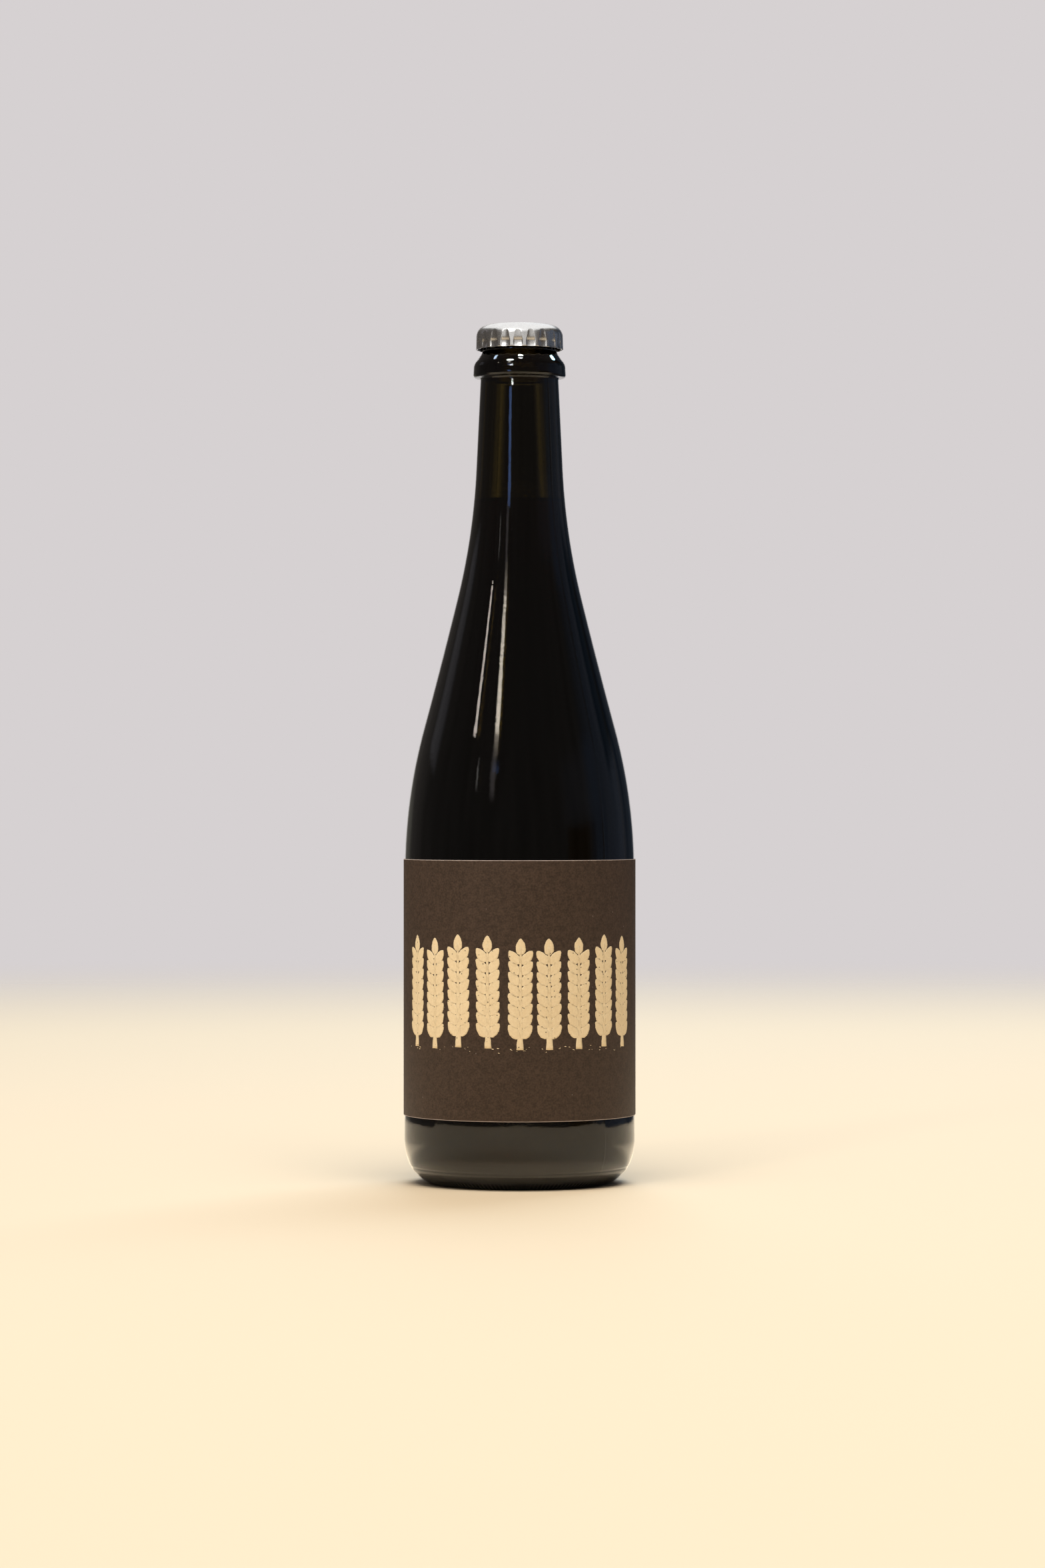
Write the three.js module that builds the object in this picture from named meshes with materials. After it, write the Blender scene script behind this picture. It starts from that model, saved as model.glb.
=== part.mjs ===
// A large beer bottle of dark glass, of the kind used for sparkling drinks, shut with a crown cap.
// Millimetres, +Z up. The origin is the centre of the ring that the bottle stands on, and the
// middle of the label faces -Y. An azimuth is measured from there, growing towards +X.
import * as THREE from "three";

// Driving dimensions
const HEIGHT = 317; // from the foot to the top of the cap
const SIDES = 48; // facets round the bottle, the beer and the label
const CLEARANCE = 0.3; // between the beer and the glass

const BODY_R = 42.5;
const WALL = 4.9;
const BODY_TOP = 115; // the shoulder's curve starts here
const SHOULDER_R = 200; // side view radius of the bulging part of the shoulder
const SLOPE_DEG = 14.6; // lean of its straight part
const SLOPE_END = 212.5;
const SWEEP_R = 250; // side view radius of the hollow part that runs into the neck
const NECK_DEG = 2.75; // what lean the neck keeps
const NECK_TOP = 296.5;

const FOOT_IN = 29.3; // the flat ring that the bottle stands on
const FOOT_OUT = 31.5;
const HEEL_HEIGHT = 16;
const PUNT_HEIGHT = 22; // the hollow pushed up into the base
const BASE_THICK = 9; // glass over the foot
const PUNT_THICK = 9; // glass over the middle of the punt
const INNER_HEEL_R = 9;

const BEAD_R = 16.95; // the thick collar under the cap
const BEAD_LOW = 298.7; // its upright side, from here to BEAD_HIGH
const BEAD_HIGH = 301.4;
const BEAD_UNDER_R = 2.3;
const BEAD_OVER_R = 3;
const THROAT_R = 14; // the narrow place between the collar and the cap
const THROAT_Z = 307;
const LIP_TOP = 316.1;
const LIP_ROUND = 3;
const MOUTH_R = 8.75;
const MOUTH_ROUND = 0.8;
const FINISH_LOW = 300; // the mouth's straight bore ends here and widens into the neck

const FILL_LEVEL = 252.3; // surface of the beer

const FLUTES = 21;
const FLUTE_STEPS = 6; // facets to a flute
const FLUTE_TOP = 314.4; // flutes run out here
const FLUTE_RUN = 4; // height over which they reach their full depth
const FLUTE_DEPTH = 0.8;
const RIDGE_NARROWING = 1.6; // above 1 the ridges are narrower than the panels between them
const FLUTE_AZIMUTH = -2; // the middle of the panel nearest the front, in degrees
const HEM_Z = 307.7;
const HEM_R = 16.1;
const CAP_THICK = 0.4;
const DOME_ROUND = 4.4;
const DOME_CENTRE_R = 11.55;

const LABEL_LOW = 25.3;
const LABEL_HIGH = 119.6;
const LABEL_GAP = 0.1; // glue line
const LABEL_THICK = 0.25;
const LABEL_OPEN_FROM = 202.5; // azimuths of the label's two upright edges, behind on the left
const LABEL_OPEN_TO = 217.5;

const rad = THREE.MathUtils.degToRad;
const deg = THREE.MathUtils.radToDeg;

// Points of an arc in the half-plane (radius, height), between two angles in degrees.
function arc(r, z, radiusR, radiusZ, from, to, steps) {
  const curve = new THREE.EllipseCurve(r, z, radiusR, radiusZ, rad(from), rad(to), to < from);
  return curve.getPoints(steps);
}

// Points of a round dome from its rim up to its apex on the axis.
function dome(rimR, rimZ, apexZ, steps) {
  const rise = apexZ - rimZ;
  const radius = (rimR * rimR + rise * rise) / (2 * rise);
  const centreZ = apexZ - radius;
  const rimAngle = deg(Math.atan2(rimZ - centreZ, rimR));
  return arc(0, centreZ, radius, radius, rimAngle, 90, steps);
}

// Centres of the two large curves of the shoulder, with a straight slope between them
const lean = rad(SLOPE_DEG);
const shoulderR = BODY_R - SHOULDER_R;
const slopeStartR = shoulderR + SHOULDER_R * Math.cos(lean);
const slopeStartZ = BODY_TOP + SHOULDER_R * Math.sin(lean);
const slopeEndR = slopeStartR - (SLOPE_END - slopeStartZ) * Math.tan(lean);
const sweepR = slopeEndR + SWEEP_R * Math.cos(lean);
const sweepZ = SLOPE_END + SWEEP_R * Math.sin(lean);

// Body, shoulder and start of the neck, that far inside the outer surface, from the heel up.
function flank(inset, heelZ, endDeg = NECK_DEG) {
  return [
    new THREE.Vector2(BODY_R - inset, heelZ),
    ...arc(shoulderR, BODY_TOP, SHOULDER_R - inset, SHOULDER_R - inset, 0, SLOPE_DEG, 6),
    ...arc(sweepR, sweepZ, SWEEP_R + inset, SWEEP_R + inset, 180 + SLOPE_DEG, 180 + endDeg, 7),
  ];
}

// Where a flank's neck reaches a height above its last point.
function neckAt(points, z) {
  const last = points[points.length - 1];
  return new THREE.Vector2(last.x - (z - last.y) * Math.tan(rad(NECK_DEG)), z);
}

// Two tangent arcs from the collar's side up and in to the upright throat.
function collarTop() {
  const inwards = BEAD_R - THROAT_R;
  const upwards = THROAT_Z - BEAD_HIGH;
  const bothRadii = (upwards * upwards + inwards * inwards) / (2 * inwards);
  const turn = deg(Math.acos(1 - inwards / bothRadii));
  const hollowR = bothRadii - BEAD_OVER_R;
  return [
    ...arc(BEAD_R - BEAD_OVER_R, BEAD_HIGH, BEAD_OVER_R, BEAD_OVER_R, 0, turn, 4),
    ...arc(THROAT_R + hollowR, THROAT_Z, hollowR, hollowR, 180 + turn, 180, 4).slice(1),
  ];
}

// The inside bottom: a rounded trough over the foot and a dome over the punt, from the axis out.
function insideBottom(inset, lift) {
  const round = INNER_HEEL_R - lift;
  const troughR = BODY_R - WALL - INNER_HEEL_R;
  return [
    ...dome(troughR, BASE_THICK + lift, PUNT_HEIGHT + PUNT_THICK + lift, 5).reverse(),
    ...arc(troughR, BASE_THICK + INNER_HEEL_R, BODY_R - inset - troughR, round, -90, 0, 4).slice(1),
  ];
}

function lathe(points, sides = SIDES) {
  const geometry = new THREE.LatheGeometry(points, sides);
  return geometry.rotateX(Math.PI / 2);
}

function bottleGlass() {
  const outside = flank(0, HEEL_HEIGHT);
  const inside = flank(WALL, BASE_THICK + INNER_HEEL_R);
  return lathe([
    ...dome(FOOT_IN, 0, PUNT_HEIGHT, 5).reverse(),
    ...arc(FOOT_OUT, HEEL_HEIGHT, BODY_R - FOOT_OUT, HEEL_HEIGHT, -90, 0, 6),
    ...outside.slice(1),
    neckAt(outside, NECK_TOP),
    ...arc(BEAD_R - BEAD_UNDER_R, BEAD_LOW, BEAD_UNDER_R, BEAD_LOW - NECK_TOP, -90, 0, 3),
    ...collarTop(),
    ...arc(THROAT_R - LIP_ROUND, LIP_TOP - LIP_ROUND, LIP_ROUND, LIP_ROUND, 0, 90, 3),
    ...arc(MOUTH_R + MOUTH_ROUND, LIP_TOP - MOUTH_ROUND, MOUTH_ROUND, MOUTH_ROUND, 90, 180, 2),
    new THREE.Vector2(MOUTH_R, FINISH_LOW),
    ...[...inside, neckAt(inside, NECK_TOP)].reverse().slice(0, -1),
    ...insideBottom(WALL, 0).reverse(),
  ]);
}

function beer() {
  const inset = WALL + CLEARANCE;
  const surfaceDeg = deg(Math.asin((sweepZ - FILL_LEVEL) / (SWEEP_R + inset)));
  return lathe([
    ...insideBottom(inset, CLEARANCE),
    ...flank(inset, BASE_THICK + INNER_HEEL_R, surfaceDeg).slice(1),
    new THREE.Vector2(0, FILL_LEVEL),
  ]);
}

// How far the crimped skirt is pressed in at an azimuth and a height.
function fluteDepth(azimuth, z) {
  const run = THREE.MathUtils.smoothstep(FLUTE_TOP - z, 0, FLUTE_RUN);
  const wave = 0.5 - 0.5 * Math.cos(FLUTES * (azimuth - rad(FLUTE_AZIMUTH)));
  return FLUTE_DEPTH * run * (1 - wave ** RIDGE_NARROWING);
}

// The crown cap: a thin dome and skirt turned smooth, and then crimped into flutes.
function crownCap() {
  const domeZ = HEIGHT - DOME_ROUND;
  const innerRound = DOME_ROUND - CAP_THICK;
  const skirtZ = (domeZ + HEM_Z) / 2;
  const skirtR = (DOME_CENTRE_R + DOME_ROUND + HEM_R) / 2;
  const smooth = lathe(
    [
      new THREE.Vector2(0, HEIGHT - CAP_THICK),
      ...arc(DOME_CENTRE_R, domeZ, innerRound, innerRound, 90, 0, 5),
      new THREE.Vector2(skirtR - CAP_THICK, skirtZ),
      new THREE.Vector2(HEM_R - CAP_THICK, HEM_Z),
      new THREE.Vector2(HEM_R, HEM_Z),
      new THREE.Vector2(skirtR, skirtZ),
      ...arc(DOME_CENTRE_R, domeZ, DOME_ROUND, DOME_ROUND, 0, 90, 5),
      new THREE.Vector2(0, HEIGHT),
    ],
    FLUTES * FLUTE_STEPS,
  );
  const position = smooth.getAttribute("position");
  for (let i = 0; i < position.count; i++) {
    const x = position.getX(i);
    const y = position.getY(i);
    const r = Math.hypot(x, y);
    if (r < DOME_CENTRE_R) continue;
    const shrink = 1 - fluteDepth(Math.atan2(x, -y), position.getZ(i)) / r;
    position.setXY(i, x * shrink, y * shrink);
  }
  return smooth;
}

// The paper label, wrapped round the body and open along one strip at the back.
function label() {
  const from = rad(LABEL_OPEN_TO - 360 - 90);
  const to = rad(LABEL_OPEN_FROM - 90);
  const inner = BODY_R + LABEL_GAP;
  const outline = new THREE.Shape();
  outline.absarc(0, 0, inner + LABEL_THICK, from, to, false);
  outline.absarc(0, 0, inner, to, from, true);
  const facets = (SIDES * (to - from)) / (2 * Math.PI);
  const wrapped = new THREE.ExtrudeGeometry(outline, {
    depth: LABEL_HIGH - LABEL_LOW,
    bevelEnabled: false,
    curveSegments: Math.round(facets / 2), // each arc takes twice this many
  });
  return wrapped.translate(0, 0, LABEL_LOW);
}

function piece(name, geometry, color, roughness, metalness) {
  const material = new THREE.MeshStandardMaterial({ color, roughness, metalness });
  const mesh = new THREE.Mesh(geometry, material);
  mesh.name = name;
  return mesh;
}

const bottle = new THREE.Group();
bottle.add(piece("bottle_glass", bottleGlass(), 0x0f0e0b, 0.04, 0));
bottle.add(piece("beer", beer(), 0x140a05, 0.1, 0));
bottle.add(piece("crown_cap", crownCap(), 0xb9b9b8, 0.28, 1));
bottle.add(piece("label", label(), 0x44352b, 0.75, 0));

export default bottle;
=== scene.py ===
# %% [markdown]
# # A dark bottle of beer under a crown cap
#
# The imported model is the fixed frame: its solids say where the glass, the beer, the cap and the
# label are, and how large. Each of them gets a finer surface of the same size in the same place,
# with the finish of the real material. Dark glass has almost no colour of its own, and is seen
# by what it mirrors, so the studio's lights matter as much here as the shapes.

import math
from collections import namedtuple

import bmesh
import bpy
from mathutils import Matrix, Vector


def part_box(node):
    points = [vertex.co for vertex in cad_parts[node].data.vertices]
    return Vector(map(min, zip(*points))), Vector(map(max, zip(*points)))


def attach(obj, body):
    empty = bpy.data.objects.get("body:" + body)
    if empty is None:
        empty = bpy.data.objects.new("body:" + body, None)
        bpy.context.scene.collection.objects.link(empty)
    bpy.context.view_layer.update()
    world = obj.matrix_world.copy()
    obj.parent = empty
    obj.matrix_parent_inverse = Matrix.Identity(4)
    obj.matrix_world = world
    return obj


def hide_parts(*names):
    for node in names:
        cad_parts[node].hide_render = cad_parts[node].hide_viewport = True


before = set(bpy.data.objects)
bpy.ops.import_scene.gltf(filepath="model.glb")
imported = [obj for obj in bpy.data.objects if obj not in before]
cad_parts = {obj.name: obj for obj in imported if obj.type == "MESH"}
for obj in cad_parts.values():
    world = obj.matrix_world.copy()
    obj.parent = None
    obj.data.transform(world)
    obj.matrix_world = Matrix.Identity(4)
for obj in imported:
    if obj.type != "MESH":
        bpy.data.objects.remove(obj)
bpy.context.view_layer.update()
MM = 0.001  # sizes below are in millimetres, and Blender counts in metres

print("solids:", sorted(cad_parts))

# %% [markdown]
# ## Sizes that come from the frame
#
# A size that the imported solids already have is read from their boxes, so a piece made here can't
# drift away from its solid. What a box doesn't tell, such as the radius of a curve, is a named
# value where it is first needed. An azimuth is an angle round the bottle, 0 at the front (-Y) and
# growing towards +X.

# %% Read the driving sizes
BODY_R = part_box("bottle_glass")[1].x / MM
LIP_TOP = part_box("bottle_glass")[1].z / MM
FILL_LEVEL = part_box("beer")[1].z / MM
CAP_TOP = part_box("crown_cap")[1].z / MM
HEM_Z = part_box("crown_cap")[0].z / MM
LABEL_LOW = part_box("label")[0].z / MM
LABEL_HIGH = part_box("label")[1].z / MM
WALL = 4.9

print(f"body radius {BODY_R:.2f}, lip {LIP_TOP:.1f}, beer up to {FILL_LEVEL:.1f}")
print(f"cap {HEM_Z:.1f} to {CAP_TOP:.1f}, label {LABEL_LOW:.1f} to {LABEL_HIGH:.1f}")

# %% [markdown]
# ## Formulas as nodes
#
# Both Geometry Nodes and shader nodes do arithmetic with Math nodes, one for each step. Wired by
# hand, a formula of ten steps is hard to write and harder to read. A small class that stands for
# a value in a tree can take Python's own signs instead, and adds the Math nodes by itself. The
# trees stay ordinary ones that can be opened and changed in Blender.

# %% A value in a node tree
def add_node(tree, kind, wires=None, **settings):
    """A node with its settings; each input, by name or number, is wired or gets a value."""
    made = tree.nodes.new(kind)
    for setting, value in settings.items():
        setattr(made, setting, value)
    for socket, value in (wires or {}).items():
        if isinstance(value, Field):
            value = value.socket
        if isinstance(value, bpy.types.NodeSocket):
            tree.links.new(value, made.inputs[socket])
        else:
            made.inputs[socket].default_value = value
    return made


class Field:
    """A number that varies over a shape. Arithmetic on it adds Math nodes to its tree."""

    def __init__(self, tree, socket):
        self.tree = tree
        self.socket = socket

    def maths(self, operation, *values):
        wires = dict(enumerate(values))
        made = add_node(self.tree, "ShaderNodeMath", wires, operation=operation)
        return Field(self.tree, made.outputs[0])

    def __add__(self, other):
        return self.maths("ADD", self, other)

    def __radd__(self, other):
        return self.maths("ADD", other, self)

    def __sub__(self, other):
        return self.maths("SUBTRACT", self, other)

    def __rsub__(self, other):
        return self.maths("SUBTRACT", other, self)

    def __mul__(self, other):
        return self.maths("MULTIPLY", self, other)

    def __rmul__(self, other):
        return self.maths("MULTIPLY", other, self)

    def __truediv__(self, other):
        return self.maths("DIVIDE", self, other)

    def __pow__(self, other):
        return self.maths("POWER", self, other)

    def sin(self):
        return self.maths("SINE", self)

    def cos(self):
        return self.maths("COSINE", self)

    def exp(self):
        return self.maths("EXPONENT", self)

    def floor(self):
        return self.maths("FLOOR", self)

    def size(self):
        return self.maths("ABSOLUTE", self)

    def above(self, limit):
        return self.maths("GREATER_THAN", self, limit)

    def at_most(self, limit, rounding):
        """The smaller of the two, with the corner between them rounded off."""
        return self.maths("SMOOTH_MIN", self, limit, rounding)

    def ramp(self, start, end):
        """0 up to start, 1 from end on, and a soft step between them."""
        wires = {"Value": self, "From Min": start, "From Max": end}
        made = add_node(self.tree, "ShaderNodeMapRange", wires, interpolation_type="SMOOTHSTEP")
        return Field(self.tree, made.outputs[0])


def parts_of(tree, vector):
    """The x, y and z of a vector, as three values."""
    split = add_node(tree, "ShaderNodeSeparateXYZ", {0: vector})
    return [Field(tree, socket) for socket in split.outputs]


def vector_of(tree, x, y, z):
    return add_node(tree, "ShaderNodeCombineXYZ", {0: x, 1: y, 2: z}).outputs[0]


def scaled(tree, vector, factor):
    wires = {0: vector, "Scale": factor}
    return add_node(tree, "ShaderNodeVectorMath", wires, operation="SCALE").outputs[0]


def move(tree, geometry, **where):
    """Moves every point to a Position, or by an Offset."""
    return add_node(tree, "GeometryNodeSetPosition", {0: geometry, **where}).outputs[0]


def noise(tree, place, scale, detail=2.0):
    """Smooth noise, mostly from 0.3 to 0.7, with about that many waves to a metre."""
    wires = {"Vector": place, "Scale": scale, "Detail": detail}
    return Field(tree, add_node(tree, "ShaderNodeTexNoise", wires).outputs["Fac"])


# %% [markdown]
# ## Trees with named sizes
#
# Each Geometry Nodes tree takes a mesh, its sizes by name and the material it puts on. The helper
# below declares those inputs, and another one ends the tree: instances are made real, because an
# exported file would lose them, and the shading is smooth. The last helper runs one or more trees
# as modifiers and keeps their result as a plain mesh. It then measures the piece. A closed solid
# has no open edges, and its volume is positive only when its faces point outwards.

# %% Start, end and run a tree
SOCKET_KINDS = {int: "NodeSocketInt", float: "NodeSocketFloat"}


def start_tree(name, sizes):
    """A tree, the sockets it is given, and its sizes as fields."""
    tree = bpy.data.node_groups.new(name, "GeometryNodeTree")
    tree.is_modifier = True
    tree.interface.new_socket("Geometry", in_out="OUTPUT", socket_type="NodeSocketGeometry")
    tree.interface.new_socket("Geometry", in_out="INPUT", socket_type="NodeSocketGeometry")
    for size, value in sizes.items():
        kind = SOCKET_KINDS[type(value)]
        socket = tree.interface.new_socket(size, in_out="INPUT", socket_type=kind)
        socket.default_value = value
    tree.interface.new_socket("Finish", in_out="INPUT", socket_type="NodeSocketMaterial")
    given = tree.nodes.new("NodeGroupInput").outputs
    return tree, given, [Field(tree, given[size]) for size in sizes]


def end_tree(tree, geometry, finish):
    real = add_node(tree, "GeometryNodeRealizeInstances", {0: geometry})
    smooth = add_node(tree, "GeometryNodeSetShadeSmooth", {0: real.outputs[0]})
    dressed = add_node(tree, "GeometryNodeSetMaterial", {0: smooth.outputs[0], "Material": finish})
    add_node(tree, "NodeGroupOutput", {0: dressed.outputs[0]})


def measure(piece):
    """Prints how fine and how large a piece is, and whether it is closed."""
    shell = bmesh.new()
    shell.from_mesh(piece.data)
    open_edges = sum(not edge.is_manifold for edge in shell.edges)
    triangles = sum(len(face.verts) - 2 for face in shell.faces)
    volume_ml = shell.calc_volume(signed=True) / (10 * MM) ** 3
    shell.free()
    print(f"{piece.name}: {triangles} triangles, {volume_ml:.2f} ml, {open_edges} open edges")


def run_trees(name, start, steps, finish):
    """Runs trees on a start mesh, one after the other, and keeps what they make as a piece."""
    piece = bpy.data.objects.new(name, start)
    bpy.context.scene.collection.objects.link(piece)
    for tree, sizes in steps:
        modifier = piece.modifiers.new(tree.name, "NODES")
        modifier.node_group = tree
        wanted = dict(sizes, Finish=finish)
        for item in tree.interface.items_tree:
            if item.in_out == "INPUT" and item.name in wanted:
                modifier[item.identifier] = wanted[item.name]
    depsgraph = bpy.context.evaluated_depsgraph_get()
    made = bpy.data.meshes.new_from_object(piece.evaluated_get(depsgraph), depsgraph=depsgraph)
    piece.modifiers.clear()
    piece.data = made
    made.name = name
    measure(piece)
    return piece


# %% [markdown]
# ## Colours and grain
#
# A colour read off a screen is in sRGB from 0 to 255, and Blender's sockets want linear light, so
# one helper converts. Paper, ink and tinplate all have a fine grain with a broader mottling under
# it, at different sizes and strengths. That is one node group with named inputs, and each
# material places it with its own values. It puts out a mask to mix two colours by and a height
# for bumps.

# %% Colour helpers and the grain group
def shade(red, green, blue):
    """A linear colour from sRGB values of 0 to 255."""
    linear = []
    for value in (red, green, blue):
        value /= 255
        linear.append(value / 12.92 if value <= 0.04045 else ((value + 0.055) / 1.055) ** 2.4)
    return (*linear, 1.0)


def build_grain():
    tree = bpy.data.node_groups.new("grain", "ShaderNodeTree")
    for name, kind in (("Place", "Vector"), ("Fine", "Float"), ("Broad", "Float"), ("Contrast", "Float")):
        tree.interface.new_socket(name, in_out="INPUT", socket_type="NodeSocket" + kind)
    for name in ("Mask", "Height"):
        tree.interface.new_socket(name, in_out="OUTPUT", socket_type="NodeSocketFloat")
    given = tree.nodes.new("NodeGroupInput").outputs
    fine = noise(tree, given["Place"], Field(tree, given["Fine"]), 3.0)
    broad = noise(tree, given["Place"], Field(tree, given["Broad"]), 2.0)
    contrast = Field(tree, given["Contrast"])
    mask = (0.65 * fine + 0.35 * broad - 0.5) * contrast + 0.5
    add_node(tree, "NodeGroupOutput", {"Mask": mask, "Height": fine})
    return tree


GRAIN = build_grain()


def place_grain(tree, place, fine, broad, contrast):
    """The grain group in a material; the sizes are waves to a metre."""
    group = add_node(tree, "ShaderNodeGroup", node_tree=GRAIN)
    tree.links.new(place, group.inputs["Place"])
    group.inputs["Fine"].default_value = fine
    group.inputs["Broad"].default_value = broad
    group.inputs["Contrast"].default_value = contrast
    return Field(tree, group.outputs["Mask"]), Field(tree, group.outputs["Height"])


def mix_colours(tree, mask, low, high):
    """The colour low where the mask is 0 and high where it is 1; both may be sockets."""
    wires = {0: mask, 6: low, 7: high}
    return add_node(tree, "ShaderNodeMix", wires, data_type="RGBA").outputs[2]


def new_finish(name, **sockets):
    """A material, its Principled shader with plain values set, and the place of each point."""
    finish = bpy.data.materials.new(name)
    finish.use_nodes = True
    tree = finish.node_tree
    shader = tree.nodes["Principled BSDF"]
    for socket, value in sockets.items():
        shader.inputs[socket.replace("_", " ")].default_value = value
    place = tree.nodes.new("ShaderNodeTexCoord").outputs["Object"]
    return finish, tree, shader, place


def add_bump(tree, shader, height, distance_mm, strength=1.0):
    wires = {"Height": height, "Distance": distance_mm * MM, "Strength": strength}
    bump = add_node(tree, "ShaderNodeBump", wires)
    tree.links.new(bump.outputs[0], shader.inputs["Normal"])


print("grain group:", [item.name for item in GRAIN.interface.items_tree])

# %% [markdown]
# ## Turning round pieces
#
# The bottle, the beer and the cap are round, so each is an outline in the half-plane of radius
# and height, turned about the upright axis. Blender's Screw modifier could do it. A tree of its
# own does more: a grid has one row for each point of the outline and one column for each
# direction, and every grid point is put where its row's radius and height and its column's
# azimuth say. The columns can also be crowded together at two opposite azimuths, which gives a
# mould seam fine facets without making all of the glass that fine. Merging the doubles closes
# the seam and the poles.

# %% The tree that turns an outline
def build_turning():
    tree, given, (sides, crowding, crowded) = start_tree(
        "turning", {"Sides": 96, "Crowding": 0.0, "Crowded azimuth": 0.0}
    )
    outline = given["Geometry"]
    count = add_node(tree, "GeometryNodeAttributeDomainSize", {0: outline}).outputs["Point Count"]
    wires = {"Vertices X": count, "Vertices Y": sides + 1}
    grid = add_node(tree, "GeometryNodeMeshGrid", wires).outputs["Mesh"]

    index = Field(tree, tree.nodes.new("GeometryNodeInputIndex").outputs[0])
    row = (index / (sides + 1)).floor()
    column = index - row * (sides + 1)
    position = tree.nodes.new("GeometryNodeInputPosition").outputs[0]
    sample = add_node(tree, "GeometryNodeSampleIndex", data_type="FLOAT_VECTOR")
    tree.links.new(outline, sample.inputs["Geometry"])
    tree.links.new(position, sample.inputs["Value"])
    tree.links.new(row.socket, sample.inputs["Index"])
    radius, _, height = parts_of(tree, sample.outputs[0])

    even = column * (2 * math.pi) / sides
    azimuth = even - crowding / 2 * (2 * (even - crowded)).sin()
    spot = vector_of(tree, radius * azimuth.sin(), -1 * radius * azimuth.cos(), height)
    turned = move(tree, grid, Position=spot)
    outwards = add_node(tree, "GeometryNodeFlipFaces", {0: turned})
    wires = {0: outwards.outputs[0], "Distance": 0.001 * MM}
    closed = add_node(tree, "GeometryNodeMergeByDistance", wires)
    end_tree(tree, closed.outputs[0], given["Finish"])
    return tree


TURNING = build_turning()


def outline_mesh(name, points):
    """An outline of (radius, height) points in millimetres, as a chain of edges."""
    mesh = bpy.data.meshes.new(name)
    edges = [(i, i + 1) for i in range(len(points) - 1)]
    mesh.from_pydata([(r * MM, 0, z * MM) for r, z in points], edges, [])
    return mesh


# %% [markdown]
# ## Outlines from arcs and straight lines
#
# A glassmaker's drawing of a bottle has arcs and straight lines, so the outlines here are built
# from the same two things. Each has as many points as a smooth surface needs.

# %% Arcs and lines
def arc(r, z, radius_r, radius_z, start, end, steps):
    """Points of an arc about (r, z) between two angles in degrees; 0 points outwards."""
    points = []
    for i in range(steps + 1):
        angle = math.radians(start + (end - start) * i / steps)
        points.append((r + radius_r * math.cos(angle), z + radius_z * math.sin(angle)))
    return points


def line(start, end, steps):
    """Points along a straight line, without its first one."""
    return [
        (start[0] + (end[0] - start[0]) * i / steps, start[1] + (end[1] - start[1]) * i / steps)
        for i in range(1, steps + 1)
    ]


def dome(rim_r, rim_z, apex_z, steps):
    """Points of a round dome from its apex on the axis out to its rim."""
    rise = apex_z - rim_z
    radius = (rim_r**2 + rise**2) / (2 * rise)
    centre_z = apex_z - radius
    rim_angle = math.degrees(math.atan2(rim_z - centre_z, rim_r))
    return arc(0, centre_z, radius, radius, 90, rim_angle, steps)


# %% [markdown]
# ## The bottle's flank
#
# The side view of this kind of bottle is a long slope between two large arcs. The lower one
# bulges out of the upright body, and the upper one is hollow and runs into a neck that keeps a
# slight taper. The slope itself is hollow by a seventh of a millimetre, which is enough to gather
# a mirrored lamp into a streak that brightens downwards. The same curves, moved in by the wall's
# thickness, are the inside, and the beer's skin is the inside again.

# %% The two large curves and the slope between them
BODY_TOP = 115
SHOULDER_R = 200
SLOPE_DEG = 14.6
SLOPE_END = 212.5
SWEEP_R = 250
NECK_DEG = 2.75
NECK_TOP = 296.5
LOW_SLOPE_DEG = 15.2
HIGH_SLOPE_DEG = 13.9
SLOPE_HOLLOW = 0.144
PANEL_LOW = 22.3  # the label's panel is set in from here up
PANEL_RUN = 4.5
PANEL_DEPTH = 0.13
PANEL_FADE_FROM = 30  # and comes out again from here up, over PANEL_FADE
PANEL_FADE = 70.0

lean = math.radians(SLOPE_DEG)
shoulder_r = BODY_R - SHOULDER_R
slope_start_r = shoulder_r + SHOULDER_R * math.cos(lean)
slope_start_z = BODY_TOP + SHOULDER_R * math.sin(lean)
slope_end_r = slope_start_r - (SLOPE_END - slope_start_z) * math.tan(lean)
sweep_r = slope_end_r + SWEEP_R * math.cos(lean)
sweep_z = SLOPE_END + SWEEP_R * math.sin(lean)


def flank(inset, heel_z, end_deg=NECK_DEG):
    """Body, shoulder and start of the neck, that far inside the outer surface, from the heel up."""
    heel = (BODY_R - inset, heel_z)
    shoulder = arc(shoulder_r, BODY_TOP, SHOULDER_R - inset, SHOULDER_R - inset, 0, LOW_SLOPE_DEG, 40)
    top_r = SWEEP_R + inset
    sweep = arc(sweep_r, sweep_z, top_r, top_r, 180 + HIGH_SLOPE_DEG, 180 + end_deg, 40)
    panel_top = (BODY_R - inset, PANEL_LOW + PANEL_RUN + 1)
    body = line(heel, panel_top, 14) + line(panel_top, shoulder[0], 16)
    slope = []
    for i, (r, z) in enumerate(line(shoulder[-1], sweep[0], 16), start=1):
        slope.append((r - 4 * SLOPE_HOLLOW * i / 16 * (1 - i / 16), z))
    return [heel, *body, *shoulder[1:], *slope, *sweep[1:]]


def smooth_step(value, start, run):
    """0 up to start, 1 from start + run on, and a soft step between them."""
    part = min(max((value - start) / run, 0), 1)
    return part * part * (3 - 2 * part)


def set_in(z):
    """How far the label's panel is set in; the step shows just under the label as a dark edge."""
    coming_out = smooth_step(z, PANEL_FADE_FROM, PANEL_FADE)
    return PANEL_DEPTH * smooth_step(z, PANEL_LOW, PANEL_RUN) * (1 - coming_out)


def neck_radius(z, inset=0):
    """Radius of the tapering neck at a height above the upper curve."""
    start_r, start_z = flank(inset, BODY_TOP)[-1]
    return start_r - (z - start_z) * math.tan(math.radians(NECK_DEG))


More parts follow.
